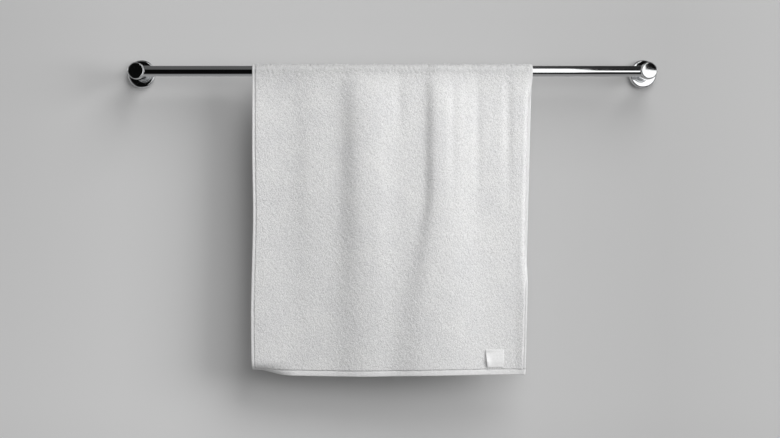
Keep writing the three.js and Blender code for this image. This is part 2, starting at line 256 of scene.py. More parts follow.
def slab(name, us, ss, outer, inner, ratio=1, warp=None):
    """A closed piece of cloth: a fine outer face, an inner face that is ratio times coarser, and a rim.
    outer and inner give each face's distance from the cloth's middle. warp moves points over the cloth."""
    u, s = np.meshgrid(us, ss)
    points, normals = cloth_frame(*(warp(u, s) if warp else (u, s)))
    outside = points + normals * outer(u, s)[..., None]
    inside = (points - normals * inner(u, s)[..., None])[::ratio, ::ratio]
    rows, cols = u.shape
    few_rows, few_cols = inside.shape[:2]
    start = rows * cols
    faces = grid_quads(rows, cols, 0, False) + grid_quads(few_rows, few_cols, start, True)
    fine = edge_loop(rows, cols)
    coarse = [start + i for i in edge_loop(few_rows, few_cols)]
    for k, near in enumerate(coarse):
        span = [fine[(k * ratio + i) % len(fine)] for i in range(ratio, -1, -1)]
        faces.append([*span, near, coarse[(k + 1) % len(coarse)]])
    flat = np.concatenate([outside.reshape(-1, 3), inside.reshape(-1, 3)])
    both_u = np.concatenate([u.ravel(), u[::ratio, ::ratio].ravel()])
    both_s = np.concatenate([s.ravel(), s[::ratio, ::ratio].ravel()])
    return new_mesh(name, flat, faces, np.stack([both_u, both_s], 1))


def pile_noise(us, ss, seed):
    """The pile's height over a grid, from -1 to 1: tufts of 3 to 5 mm in slanting streaks, on slow waves."""
    rng = np.random.default_rng(seed)
    shape = (len(ss), len(us))
    ky = np.fft.fftfreq(shape[0], ss[1] - ss[0])[:, None] * MM
    kx = np.fft.rfftfreq(shape[1], us[1] - us[0])[None, :] * MM
    slant = math.cos(PILE_SLANT) * kx + math.sin(PILE_SLANT) * ky
    other = math.cos(PILE_SLANT) * ky - math.sin(PILE_SLANT) * kx

    def band(low_pass, stretch, high_pass):
        keep = np.exp(-((slant * low_pass) ** 2) - (other * low_pass * stretch) ** 2)
        keep = keep * (1 - np.exp(-(kx**2 + ky**2) * high_pass**2))
        made = np.fft.irfft2(np.fft.rfft2(rng.standard_normal(shape)) * keep, shape)
        return made / made.std()

    tufts = band(2.2, PILE_STRETCH, 2.5)
    streaks = band(4.5, 3.2, 14)
    waves = band(22, 1, 60)
    return np.clip(0.75 * tufts + 0.32 * streaks + 0.2 * waves, -2.2, 2.2) / 2.2


# ---------------------------------------------------------------- materials


def material(name):
    made = bpy.data.materials.new(name)
    made.use_nodes = True
    nodes, links = made.node_tree.nodes, made.node_tree.links
    return made, nodes, links, nodes["Principled BSDF"]


def set_sockets(shader, **values):
    for socket, value in values.items():
        shader.inputs[socket.replace("_", " ")].default_value = value


def noise_node(nodes, links, vector, scale, detail, roughness):
    made = nodes.new("ShaderNodeTexNoise")
    made.inputs["Scale"].default_value = scale
    made.inputs["Detail"].default_value = detail
    made.inputs["Roughness"].default_value = roughness
    links.new(vector, made.inputs["Vector"])
    return made.outputs["Fac"]


def ramp_node(nodes, links, value, stops):
    """A colour ramp. Each stop is its position, with a brightness or a colour."""
    made = nodes.new("ShaderNodeValToRGB")
    ramp = made.color_ramp
    for i, (position, colour) in enumerate(stops):
        stop = ramp.elements[i] if i < 2 else ramp.elements.new(position)
        stop.position = position
        stop.color = (*colour, 1) if hasattr(colour, "__len__") else (colour, colour, colour, 1)
    links.new(value, made.inputs["Fac"])
    return made.outputs["Color"]


def bump_node(nodes, links, height, distance, strength=1.0, normal=None):
    made = nodes.new("ShaderNodeBump")
    made.inputs["Distance"].default_value = distance
    made.inputs["Strength"].default_value = strength
    links.new(height, made.inputs["Height"])
    if normal is not None:
        links.new(normal, made.inputs["Normal"])
    return made.outputs["Normal"]


def math_node(nodes, links, kind, a, b=None):
    made = nodes.new("ShaderNodeMath")
    made.operation = kind
    for i, value in enumerate((a, b)):
        if value is None:
            continue
        if isinstance(value, (int, float)):
            made.inputs[i].default_value = value
        else:
            links.new(value, made.inputs[i])
    return made.outputs[0]


def range_node(nodes, links, value, low, high):
    """How far the value is from low, 0, to high, 1."""
    made = nodes.new("ShaderNodeMapRange")
    made.inputs["From Min"].default_value = low
    made.inputs["From Max"].default_value = high
    links.new(value, made.inputs["Value"])
    return made.outputs["Result"]


def split_node(nodes, links, vector):
    made = nodes.new("ShaderNodeSeparateXYZ")
    links.new(vector, made.inputs[0])
    return made.outputs


def choice_node(nodes, links, choice, first, second):
    """The first colour where choice is 0, and the second where it is 1. Each is a colour or an output."""
    made = nodes.new("ShaderNodeMix")
    made.data_type = "RGBA"
    links.new(choice, made.inputs["Factor"])
    for socket, value in ((6, first), (7, second)):
        if isinstance(value, tuple):
            made.inputs[socket].default_value = value
        else:
            links.new(value, made.inputs[socket])
    return made.outputs[2]


def multiply_node(nodes, links, first, second):
    made = nodes.new("ShaderNodeMix")
    made.data_type = "RGBA"
    made.blend_type = "MULTIPLY"
    made.inputs["Factor"].default_value = 1
    links.new(first, made.inputs[6])
    links.new(second, made.inputs[7])
    return made.outputs[2]


def painted_shade_over_bar(nodes, links, place):
    """Painted shade along the cloth: its colour darker over the bar and a little below."""
    along = split_node(nodes, links, place)["Y"]
    bend = range_node(nodes, links, along, FRONT_DROP - 60 * MM, FRONT_DROP + ARC)
    return ramp_node(
        nodes, links, bend, [(0.0, 1.0), (0.3, 0.96), (0.55, 0.89), (0.65, 0.8), (0.8, 0.72), (1.0, 1.0)]
    )


def terry_colour(nodes, links, place, tufts, gaps):
    """Painted shade in the gaps between tufts and between loops, slow random changes of tone, and painted
    shade in a strip over the bar.
    """
    # Painted shade in the hollows between tufts, where the bump is low.
    shade = ramp_node(nodes, links, tufts, [(0.3, 0.83), (0.5, 0.955), (0.7, 1.0)])
    # Painted shade in the gaps between loops.
    hollows = ramp_node(nodes, links, gaps, [(0.25, 1.0), (0.75, 0.8)])
    tone = noise_node(nodes, links, place, 18, 3, 0.5)
    slow = ramp_node(nodes, links, tone, [(0.3, (0.94, 0.94, 0.945)), (0.7, (1, 1, 0.995))])
    # Slow random changes of tone, with painted shade over the bar.
    tone_and_painted_shade = multiply_node(nodes, links, slow, painted_shade_over_bar(nodes, links, place))
    return multiply_node(nodes, links, multiply_node(nodes, links, shade, hollows), tone_and_painted_shade)


def terry_material():
    """White looped cotton: tufts in slanting rows, with single loops on them."""
    made, nodes, links, shader = material("terry")
    set_sockets(shader, Roughness=1.0, Sheen_Weight=0.06, Sheen_Roughness=0.5, Specular_IOR_Level=0.1)
    place = nodes.new("ShaderNodeTexCoord").outputs["UV"]
    rows = nodes.new("ShaderNodeMapping")
    rows.vector_type = "TEXTURE"
    rows.inputs["Rotation"].default_value = (0, 0, PILE_SLANT)
    rows.inputs["Scale"].default_value = (1, PILE_STRETCH, 1)
    links.new(place, rows.inputs["Vector"])
    loops = nodes.new("ShaderNodeTexVoronoi")
    loops.inputs["Scale"].default_value = 980
    links.new(rows.outputs["Vector"], loops.inputs["Vector"])
    gaps = loops.outputs["Distance"]
    tufts = noise_node(nodes, links, rows.outputs["Vector"], 400, 2, 0.6)
    links.new(terry_colour(nodes, links, place, tufts, gaps), shader.inputs["Base Color"])
    coarse = bump_node(nodes, links, tufts, 0.65 * MM)
    round_loops = math_node(nodes, links, "SUBTRACT", 1.0, gaps)
    fine = bump_node(nodes, links, round_loops, 0.62 * MM, 0.9, coarse)
    links.new(fine, shader.inputs["Normal"])
    return made


def weave_material(name, base, rib, threads):
    """A flat cotton weave: crossed threads, with slight unevenness, and painted shade over the bar. threads
    is threads per metre.
    """
    made, nodes, links, shader = material(name)
    set_sockets(shader, Roughness=0.85, Sheen_Weight=0.15, Specular_IOR_Level=0.2)
    place = nodes.new("ShaderNodeTexCoord").outputs["UV"]
    waves = []
    for along in split_node(nodes, links, place)[:2]:
        phase = math_node(nodes, links, "MULTIPLY", along, threads * math.tau)
        waves.append(math_node(nodes, links, "SINE", phase))
    crossed = math_node(nodes, links, "MULTIPLY", *waves)
    uneven = noise_node(nodes, links, place, 300, 3, 0.6)
    height = math_node(nodes, links, "ADD", crossed, uneven)
    shade = ramp_node(nodes, links, uneven, [(0.25, base * 0.9), (0.75, base)])
    # Painted shade over the bar darkens the weave there.
    weave_with_painted_shade = multiply_node(nodes, links, shade, painted_shade_over_bar(nodes, links, place))
    links.new(weave_with_painted_shade, shader.inputs["Base Color"])
    links.new(bump_node(nodes, links, height, rib), shader.inputs["Normal"])
    return made


def chrome_material():
    """Polished chrome with faint smears and hairline scratches."""
    made, nodes, links, shader = material("chrome")
    set_sockets(shader, Metallic=1.0, Base_Color=(0.86, 0.87, 0.88, 1))
    place = nodes.new("ShaderNodeTexCoord").outputs["Object"]
    smear = noise_node(nodes, links, place, 24, 4, 0.6)
    rough = ramp_node(nodes, links, smear, [(0.35, 0.035), (0.75, 0.11)])
    links.new(rough, shader.inputs["Roughness"])
    scratch = noise_node(nodes, links, place, 900, 2, 0.5)
    links.new(bump_node(nodes, links, scratch, 0.01 * MM, 0.25), shader.inputs["Normal"])
    return made


def metal_material(name, colour, roughness, grain):
    """Plated or plain steel with a fine grain and uneven gloss."""
    made, nodes, links, shader = material(name)
    set_sockets(shader, Metallic=1.0)
    place = nodes.new("ShaderNodeTexCoord").outputs["Object"]
    blotch = noise_node(nodes, links, place, 160, 4, 0.6)
    tint = ramp_node(nodes, links, blotch, [(0.3, [c * 0.8 for c in colour]), (0.7, colour)])
    links.new(tint, shader.inputs["Base Color"])
    rough = ramp_node(nodes, links, blotch, [(0.3, roughness * 1.3), (0.7, roughness * 0.8)])
    links.new(rough, shader.inputs["Roughness"])
    fine = noise_node(nodes, links, place, 2500, 2, 0.5)
    links.new(bump_node(nodes, links, fine, grain), shader.inputs["Normal"])
    return made


def plastic_material(name, colour, roughness):
    """Moulded plastic or rubber with a spark-eroded grain."""
    made, nodes, links, shader = material(name)
    set_sockets(shader, Roughness=roughness)
    place = nodes.new("ShaderNodeTexCoord").outputs["Object"]
    grain = noise_node(nodes, links, place, 1800, 3, 0.6)
    tint = ramp_node(nodes, links, grain, [(0.3, colour * 0.8), (0.7, colour * 1.15)])
    links.new(tint, shader.inputs["Base Color"])
    links.new(bump_node(nodes, links, grain, 0.06 * MM), shader.inputs["Normal"])
    return made


TERRY = terry_material()
HEM = weave_material("hem_weave", 0.96, 0.12 * MM, 1100)
THREAD = weave_material("sewing_thread", 0.87, 0.05 * MM, 2600)
LABEL = weave_material("label_satin", 0.97, 0.04 * MM, 2200)
CHROME = chrome_material()
ZINC = metal_material("zinc_plate", (0.55, 0.56, 0.58), 0.38, 0.02 * MM)
STEEL = metal_material("alloy_steel", (0.3, 0.3, 0.31), 0.42, 0.02 * MM)
NYLON = plastic_material("nylon", 0.03, 0.5)
RUBBER = plastic_material("rubber", 0.02, 0.75)


def dress(obj, finish):
    obj.data.materials.clear()
    obj.data.materials.append(finish)
    return obj


# ---------------------------------------------------------------- towel

SEAM = FRONT_DROP + ARC + 4 * MM  # where the front and back meshes of the terry meet, just behind the bar
TERRY_HALF = HALF_WIDTH - SIDE_HEM + 0.5 * MM
# The pile in mm: its height all over, how much more it has over the bar, and half the length of that strip.
PILE_HEIGHT, PILE_OVER_BAR, PILE_BEND = 0.64, 1.2, 22


def bend_with_lift(obj):
    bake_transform(obj)
    return obj


def terry_piece(name, low, high, spacing, ratio, seed):
    us = spread(-TERRY_HALF, TERRY_HALF, spacing, ratio)
    ss = spread(low, high, spacing, ratio)
    raised = PILE_HEIGHT + PILE_OVER_BAR * bell(ss, FRONT_DROP + ARC / 2, PILE_BEND * MM)
    pile = pile_noise(us, ss, seed) * raised[:, None] * MM
    return dress(
        slab(
            name, us, ss,
            lambda u, s: THICKNESS / 2 + pile,
            lambda u, s: THICKNESS / 2 + 0.5 * pile[::-1, ::-1],
            ratio,
        ),
        TERRY,
    )


SIDE_SEWN, END_SEWN = 0.7, 0.87  # where each hem is sewn, as a share of its width
# Heights of the stitches above the cloth's middle.
SIDE_RISE, END_RISE, CORNER_RISE = 0.55 * MM, 0.75 * MM, 1.1 * MM
THREAD_R = 0.3 * MM
# A hem in mm: half its thickness at the edges, how much more it has between them, its pucker and its groove.
HEM_EDGE, HEM_RISE, PUCKER, GROOVE_WIDTH = 0.25, 0.85, 0.16, 0.9


def hem_height(across, along, width, sewn, groove_depth):
    """Half the thickness of a folded hem: round at both edges, puckered, with a groove where it is sewn."""
    t = np.clip(across / width, 0, 1)
    rounded = np.sqrt(np.clip(1 - (2 * t - 1) ** 6, 0, 1))
    groove = groove_depth * bell(t, sewn, GROOVE_WIDTH * MM / width)
    pucker = PUCKER * np.sin(along / (2.6 * MM) + 2 * np.sin(along / (11 * MM)))
    return MM * (HEM_EDGE + (HEM_RISE + pucker) * rounded - groove)


def side_hem(name, side, low, high):
    edge = side * HALF_WIDTH
    us = np.linspace(edge - side * SIDE_HEM, edge, 15)[::side]
    ss = spread(low, high, 3 * MM, 1)

    at_hem, at_bar = (0.25, 0.7) if side < 0 else (0.55, 0.1)  # how deep it is sewn in, in mm

    def shape(u, s):
        groove = mix(at_hem, at_bar, smooth(s, 150 * MM, FRONT_DROP - 150 * MM))
        return hem_height(HALF_WIDTH - side * u, s, SIDE_HEM, SIDE_SEWN, groove)

    return dress(slab(name, us, ss, shape, shape), HEM)


def end_hem(name, low, high, sewn_high):
    us = spread(-HALF_WIDTH, HALF_WIDTH, 3 * MM, 1)
    ss = np.linspace(low, high, 17)

    def shape(u, s):
        groove = mix(0.45, 0.12, smooth(u, 20 * MM, 90 * MM))
        return hem_height((s - low) if sewn_high else (high - s), u, END_HEM, END_SEWN, groove)

    return dress(slab(name, us, ss, shape, shape), HEM)


STITCH_SIDES = 6
# From end to end of a stitch: places as shares of its pitch, and thicknesses as shares of the thread's.
STITCH_RINGS = [(-0.38, 0.1), (-0.3, 0.8), (0, 1), (0.3, 0.8), (0.38, 0.1)]


def stitch_faces(face):
    """The faces of one stitch, closed at both ends."""
    sides, last = STITCH_SIDES, (len(STITCH_RINGS) - 1) * STITCH_SIDES
    faces = []
    for start in range(0, last, sides):
        for k in range(sides):
            n = (k + 1) % sides
            faces.append([start + k, start + n, start + sides + n, start + sides + k])
    faces.append(list(range(sides))[::-1])
    faces.append([last + k for k in range(sides)])
    return [corners[::-1] for corners in faces] if face > 0 else faces


def stitches(name, us, ss, height, pitch=3.2 * MM, face=1):
    """A line of short raised stitches between two points of the cloth, on its outer face or on its inner
    one. height, from the cloth's middle, is a number or a function of place."""
    (u0, u1), (s0, s1) = us, ss
    reach = math.hypot(u1 - u0, s1 - s0)
    count = int(reach / pitch)
    t = (np.arange(count) + 0.5) / count
    u, s = mix(u0, u1, t), mix(s0, s1, t)
    level = np.reshape(height(u, s) if callable(height) else height, (-1, 1))
    points, normals = cloth_frame(u, s)
    du, ds = (u1 - u0) / reach * TINY, (s1 - s0) / reach * TINY
    forward = unit(cloth(u + du, s + ds) - cloth(u - du, s - ds))
    sideways = np.cross(normals, forward)
    corners = []
    for along, thick in STITCH_RINGS:
        for turn in np.arange(STITCH_SIDES) * math.tau / STITCH_SIDES:
            rise = level + THREAD_R * 0.8 * thick * math.sin(turn)
            aside = THREAD_R * thick * math.cos(turn)
            corners.append(points + forward * along * pitch + sideways * aside + normals * face * rise)
    each = len(corners)
    faces = [[n * each + i for i in corner] for n in range(count) for corner in stitch_faces(face)]
    uvs = np.repeat(np.stack([u, s], 1), each, 0)
    return dress(new_mesh(name, np.stack(corners, 1).reshape(-1, 3), faces, uvs), THREAD)


def make_stitching():
    """The towel's seams, seen on both faces of its hems."""
    made = []
    inset, end_inset = HALF_WIDTH - SIDE_SEWN * SIDE_HEM, END_SEWN * END_HEM
    front, back = (END_HEM, SEAM), (SEAM, LENGTH - END_HEM)
    for place, face in (("outer", 1), ("inner", -1)):
        for side, x in (("left", -inset), ("right", inset)):
            seam = stitches(f"towel_front_{side}_{place}_seam", (x, x), front, SIDE_RISE, face=face)
            made.append(bend_with_lift(seam))
            seam = stitches(f"towel_back_{side}_{place}_seam", (x, x), back, SIDE_RISE, face=face)
            made.append(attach(seam, "towel"))
        ends = (-HALF_WIDTH + 2 * MM, HALF_WIDTH - 2 * MM)
        for end, s, body in (("front", end_inset, "towel_front"), ("back", LENGTH - end_inset, "towel")):
            seam = stitches(f"towel_{end}_end_{place}_seam", ends, (s, s), END_RISE, face=face)
            made.append(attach(seam, body))
            for side, x in (("left", -inset), ("right", inset)):
                across = (s - 0.7 * END_HEM, s) if end == "front" else (s, s + 0.7 * END_HEM)
                name = f"towel_{end}_{side}_{place}_corner"
                tack = stitches(name, (x, x), across, CORNER_RISE, pitch=1.6 * MM, face=face)
                made.append(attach(tack, body))
    return made


def make_towel():
    front = terry_piece("towel_front_terry", END_HEM, SEAM, 2.0 * MM, 2, SEED)
    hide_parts("towel_front_drop", "towel_saddle")
    back = terry_piece("towel_back_terry", SEAM, LENGTH - END_HEM, 2.8 * MM, 2, SEED + 1)
    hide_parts("towel_back_drop")
    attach(back, "towel")
    bend_with_lift(front)
    riders = [back]
    for name, side in (("left", -1), ("right", 1)):
        hem = side_hem(f"towel_front_{name}_hem", side, END_HEM, SEAM)
        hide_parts(f"front_{name}_hem", f"saddle_{name}_hem")
        bend_with_lift(hem)
        rear = side_hem(f"towel_back_{name}_hem", side, SEAM, LENGTH - END_HEM)
        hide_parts(f"back_{name}_hem")
        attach(rear, "towel")
        riders += [hem, rear]
    low = end_hem("towel_front_end_hem", 0, END_HEM, True)
    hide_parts("front_end_hem")
    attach(low, "towel_front")
    rear = end_hem("towel_back_end_hem", LENGTH - END_HEM, LENGTH, False)
    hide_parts("back_end_hem")
    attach(rear, "towel")
    return front, riders + [low, rear]


# ---------------------------------------------------------------- label

# The label's place, up and across the cloth.
LABEL_S = (FRONT_DROP + LABEL_LOW.z + 1.5 * MM, FRONT_DROP + LABEL_HIGH.z)
LABEL_U = (174 * MM, 208 * MM)


def label_place(u, s):
    """Shares of the label's width and height, from its bottom left corner."""
    return (u - LABEL_U[0]) / (LABEL_U[1] - LABEL_U[0]), (s - LABEL_S[0]) / (LABEL_S[1] - LABEL_S[0])


def label_warp(u, s):
    """The label's bottom left corner is drawn inwards."""
    a, b = label_place(u, s)
    return u + 3.5 * MM * (1 - a) * np.clip(1 - b, 0, 1) ** 1.6, s


def make_label():
    """A small woven label, sewn along its top and bottom, with its left edge lifting."""
    us, ss = np.linspace(*LABEL_U, 33), np.linspace(*LABEL_S, 33)
    thickness, inset = 0.35 * MM, 2 * MM

    def lift(u, s):
        a, b = label_place(u, s)
        rise = 3.2 * bell(a, 0, 0.2) * bell(b, 0.3, 0.3) + 0.4 * np.sin(math.pi * b) * np.sin(math.pi * a)
        rise = rise + 1.2 * bell(a, 0.2, 0.35) * bell(b, 1, 0.12) - 0.9 * (1 - smooth(b, 0, 0.35))
        return THICKNESS / 2 + MM * (1.4 + rise)

    made = slab(
        "towel_woven_label", us, ss,
        lambda u, s: lift(u, s) + thickness,
        lambda u, s: -lift(u, s),
        warp=label_warp,
    )
    dress(made, LABEL)
    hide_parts("towel_label")
    pieces = [made]
    for name, s, start in (("top", LABEL_S[1] - inset, inset), ("bottom", LABEL_S[0] + inset, 5 * MM)):
        ends = (LABEL_U[0] + start, LABEL_U[1] - inset)
        seam = stitches(
            f"label_{name}_seam", ends, (s, s), lambda u, s: lift(u, s) + 1.3 * thickness, pitch=2.4 * MM
        )
        pieces.append(seam)
    for piece in pieces:
        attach(piece, "towel_front")
    return pieces


# ---------------------------------------------------------------- turned pieces


def arc(radius, along, size, start, end, steps=8):
    """Points of an arc of a turned profile, from one angle to another in degrees."""
    turns = np.radians(np.linspace(start, end, steps + 1))
    return [(radius + size * math.cos(t), along + size * math.sin(t)) for t in turns]


def lathe(name, profile, axis, centre, sides=96, ring=False):
    """A turned piece. Each point of profile is (radius, distance along axis), in mm. A ring's profile runs
    round its section and closes on itself. Any other has a flat end at its first and its last point."""
    axis = Vector(axis)
    first = axis.orthogonal().normalized()
    second = axis.cross(first)
    points = []
    for radius, along in profile:
        for k in range(sides):
            turn = math.tau * k / sides
            spoke = first * math.cos(turn) + second * math.sin(turn)
            points.append(Vector(centre) + (axis * along + spoke * radius) * MM)
    rows = len(profile)
    faces = []
    for i in range(rows if ring else rows - 1):
        near, far = i * sides, (i + 1) % rows * sides
        for k in range(sides):
            n = (k + 1) % sides
            faces.append([near + k, near + n, far + n, far + k])
    if not ring:
        faces.append(list(range(sides))[::-1])
        faces.append([(rows - 1) * sides + k for k in range(sides)])
    return sharpen(new_mesh(name, points, faces))


def sharpen(obj):
    obj.data.set_sharp_from_angle(angle=math.radians(32))
    return obj


def cut(target, *tools):
    """Cut the tools out of target, and remove them."""
    for tool in tools:
        modifier = target.modifiers.new(tool.name, "BOOLEAN")
        modifier.operation = "DIFFERENCE"
        modifier.solver = "EXACT"
        modifier.object = tool
    evaluated = target.evaluated_get(bpy.context.evaluated_depsgraph_get())
    target.data = bpy.data.meshes.new_from_object(evaluated)
    target.modifiers.clear()
    for tool in tools:
        bpy.data.objects.remove(tool)
    return sharpen(target)


def fitting(obj, finish, node, body):
    dress(obj, finish)
    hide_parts(node)
    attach(obj, body)


# Sizes of the CAD's fittings, in mm.
GAP = 0.3
CHAMFER = 0.6
STANDOFF = -BAR_Y / MM
BAR_MM, BAR_WALL, BAR_CHAMFER = BAR_R / MM, 1, 0.2
PLATE_R, PLATE_THICKNESS = 23, 3
SPIGOT_R, SPIGOT_OUT, GROOVE_DEPTH, GROOVE_HALF = 4.7, 21, 0.9, 1.5
NECK_R, HEAD_R, HEAD_LENGTH, HEAD_ROUND = 9, 15, 34, 2.5
BUSH_R, BUSH_FLOOR, SOCKET_DEPTH, SOCKET_MOUTH = 11, 1.5, 5, 9.5
SCREW_R, SCREW_HEAD_R, SCREW_LENGTH, SCREW_OFFSET = 2.2, 4.4, 38, 15.5
SET_SCREW_R, SET_SCREW_OUT, SET_SCREW_LOW, SET_SCREW_HIGH = 2.5, 13, 4.3, 8.6
HEXAGON_R, HEXAGON_DEPTH = 1.45, 2.2
PLUG_LENGTH, PLUG_FLANGE = 11.5, 1.5
COVER_R, COVER_DEPTH, COVER_SKIN, COVER_ROUND, COVER_CHAMFER = 25, 9, 1.2, 2, 0.3
COVER_HUB, COVER_HUB_WALL, RING_R = 3.4, 3.2, 0.75
POST_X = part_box("right_post")[1].x - HEAD_R * MM
OUT, DOWN = (0, -1, 0), (0, 0, -1)


def rod(name, radius, low, high, axis, centre, sides=48):
    return lathe(name, [(radius, low), (radius, high)], axis, centre, sides)


def post(name, side, foot):
    """A neck that flares into a short round head, with a blind socket for the bar's end."""
    back, front = STANDOFF - HEAD_LENGTH / 2, STANDOFF + HEAD_LENGTH / 2
    inner = HEAD_R - HEAD_ROUND
    body = lathe(
        name,
        [
            (NECK_R, PLATE_THICKNESS + GAP),
            (NECK_R, (PLATE_THICKNESS + back) / 2),
            *arc(NECK_R + HEAD_ROUND, back - HEAD_ROUND, HEAD_ROUND, 180, 90),
            *arc(inner, back + HEAD_ROUND, HEAD_ROUND, -90, 0),
            *arc(inner, front - HEAD_ROUND, HEAD_ROUND, 0, 90),
        ],
        OUT, foot, 128,
    )
    head = Vector(foot) + Vector(OUT) * STANDOFF * MM
    screw_place = Vector(foot) + Vector(OUT) * SET_SCREW_OUT * MM
    return cut(
        body,
        rod("recess", SPIGOT_R + GAP, -1, SPIGOT_OUT + 1, OUT, foot),
        rod("socket", BUSH_R + GAP, -2 * HEAD_R, SOCKET_DEPTH, (side, 0, 0), head, 96),
        rod("tapped", SET_SCREW_R + GAP, NECK_R / 2, NECK_R * 1.5, DOWN, screw_place),
    )


def wall_plate(name, foot):
    """A round plate with two countersunk holes and a grooved spigot."""
    low, high = SET_SCREW_OUT - GROOVE_HALF, SET_SCREW_OUT + GROOVE_HALF
    body = lathe(
        name,
        [
            (PLATE_R, 0), (PLATE_R, PLATE_THICKNESS - CHAMFER), (PLATE_R - CHAMFER, PLATE_THICKNESS),
            (SPIGOT_R, PLATE_THICKNESS), (SPIGOT_R, low - GROOVE_DEPTH), (SPIGOT_R - GROOVE_DEPTH, low),
            (SPIGOT_R - GROOVE_DEPTH, high), (SPIGOT_R, high + GROOVE_DEPTH),
            (SPIGOT_R, SPIGOT_OUT - CHAMFER), (SPIGOT_R - CHAMFER, SPIGOT_OUT),
        ],
        OUT, foot,
    )
    hole = [
        (SCREW_R + GAP, -1), (SCREW_R + GAP, PLATE_THICKNESS - SCREW_HEAD_R + SCREW_R),
        (SCREW_HEAD_R + GAP, PLATE_THICKNESS), (SCREW_HEAD_R + GAP, PLATE_THICKNESS + 1),
    ]
    places = [Vector(foot) + Vector(DOWN) * side * SCREW_OFFSET * MM for side in (-1, 1)]
    return cut(body, *(lathe(f"hole_{i}", hole, OUT, place, 48) for i, place in enumerate(places)))


# The wood screws' thread: its root as a share of the shank, and its pitch as a multiple of a ridge's width.
SCREW_PITCH, SCREW_ROOT, SCREW_RIDGE, PLAIN_SHANK, TAPER = 2.4, 0.7, 2.5, 8, 5
RECESS_LENGTH, RECESS_WIDTH, RECESS_DEPTH = 3.6, 0.9, 2.4


def roll_thread(body, place, tip, neck):
    """Draw the screw's surface in between the turns of its thread, and taper its tip."""
    for vertex in body.data.vertices:
        x, y, z = (vertex.co - Vector(place)) / MM
        if -y < neck - PLAIN_SHANK:
            phase = (-y / SCREW_PITCH - math.atan2(z, x) / math.tau) % 1
            ridge = SCREW_ROOT + (1 - SCREW_ROOT) * max(0, 1 - abs(2 * phase - 1) * SCREW_RIDGE)
            scale = np.clip((-y - tip) / TAPER, 0.1, 1) * ridge * SCREW_R / math.hypot(x, z)
            vertex.co = Vector(place) + Vector((x * scale, y, z * scale)) * MM


def cross_recess(place):
    slots = []
    for width, height in ((RECESS_LENGTH, RECESS_WIDTH), (RECESS_WIDTH, RECESS_LENGTH)):
        bpy.ops.mesh.primitive_cube_add(size=1, location=place)
        slots.append(bpy.context.object)
        slots[-1].scale = (width * MM, RECESS_DEPTH * MM, height * MM)
    return slots


def wood_screw(name, place):
    """A countersunk screw with a thread and a cross recess."""
    top = PLATE_THICKNESS - 0.1
    tip = top - SCREW_LENGTH
    neck = top - SCREW_HEAD_R + SCREW_R
    shank = [(SCREW_R, along) for along in np.linspace(tip + 1, neck, 240)]
    body = lathe(name, [(0.2, tip), *shank, (SCREW_HEAD_R, top)], OUT, place, 32)
    roll_thread(body, place, tip, neck)
    return cut(body, *cross_recess(Vector(place) + Vector(OUT) * top * MM))


def set_screw(name, foot):
    """A short screw with a hexagon socket, in the underside of the neck."""
    place = Vector(foot) + Vector(OUT) * SET_SCREW_OUT * MM
    body = lathe(
        name,
        [
            (SET_SCREW_R - CHAMFER, SET_SCREW_LOW), (SET_SCREW_R, SET_SCREW_LOW + CHAMFER),
            (SET_SCREW_R, SET_SCREW_HIGH - CHAMFER), (SET_SCREW_R - CHAMFER, SET_SCREW_HIGH),
        ],
        DOWN, place, 48,
    )
    floor, mouth = SET_SCREW_HIGH - HEXAGON_DEPTH, SET_SCREW_HIGH + 1
    return cut(body, rod("hexagon", HEXAGON_R, floor, mouth, DOWN, place, 6))


def bush(name, side, head):
    """A nylon cup in the post's socket."""
    floor = SOCKET_DEPTH - GAP
    inner = BAR_MM + GAP
    cup = rod(name, BUSH_R, -SOCKET_MOUTH, floor, (side, 0, 0), head, 96)
    return cut(cup, rod("bore", inner, -2 * SOCKET_MOUTH, floor - BUSH_FLOOR, (side, 0, 0), head, 96))


def cover(name, foot):
    """A dished cover with a hub that is grooved for the grip ring."""
    face = GAP + COVER_DEPTH
    hub, groove = NECK_R + GAP, NECK_R + 2 * GAP + 2 * RING_R
    middle, half = face - COVER_HUB / 2, RING_R + GAP
    rim, bend = COVER_R - COVER_SKIN - COVER_ROUND, face - COVER_SKIN - COVER_ROUND
    return lathe(
        name,
        [
            (hub, face - COVER_CHAMFER), (hub, middle + half), (groove, middle + half),
            (groove, middle - half), (hub, middle - half), (hub, face - COVER_HUB),
            (hub + COVER_HUB_WALL, face - COVER_HUB), (hub + COVER_HUB_WALL, face - COVER_SKIN),
            *arc(rim, bend, COVER_ROUND, 90, 0),
            (COVER_R - COVER_SKIN, GAP), (COVER_R, GAP),
            *arc(rim, bend, COVER_ROUND + COVER_SKIN, 0, 90),
            (hub + COVER_CHAMFER, face),
        ],
        OUT, foot, 128, ring=True,
    )


def grip_ring(name, foot):
    section = arc(NECK_R + GAP + RING_R, GAP + COVER_DEPTH - COVER_HUB / 2, RING_R, -90, 270, 16)[:-1]
    return lathe(name, section, OUT, foot, ring=True)


def bar_plug(name, side, head):
    """A nylon plug in the bar's end, with a flange that faces the bush's floor."""
    face = SOCKET_DEPTH - 2 * GAP - BUSH_FLOOR
    spigot = BAR_MM - BAR_WALL - GAP
    return lathe(
        name,
        [
            (spigot - CHAMFER, face - PLUG_LENGTH), (spigot, face - PLUG_LENGTH + CHAMFER),
            (spigot, face - PLUG_FLANGE), (BAR_MM, face - PLUG_FLANGE),
            (BAR_MM, face - CHAMFER), (BAR_MM - CHAMFER, face),
        ],
        (side, 0, 0), head,
    )


def make_bar():
    half, bore = BAR_HIGH.x / MM, BAR_MM - BAR_WALL
    profile = [(bore, -half), (BAR_MM - BAR_CHAMFER, -half), (BAR_MM, -half + BAR_CHAMFER)]
    profile += [(BAR_MM, x) for x in np.linspace(-half + 1, half - 1, 9)]
    profile += [(BAR_MM, half - BAR_CHAMFER), (BAR_MM - BAR_CHAMFER, half), (bore, half)]
    bar = lathe("bar", profile, (1, 0, 0), (0, BAR_Y, 0), 128, ring=True)
    fitting(bar, CHROME, "bar_tube", "bar")


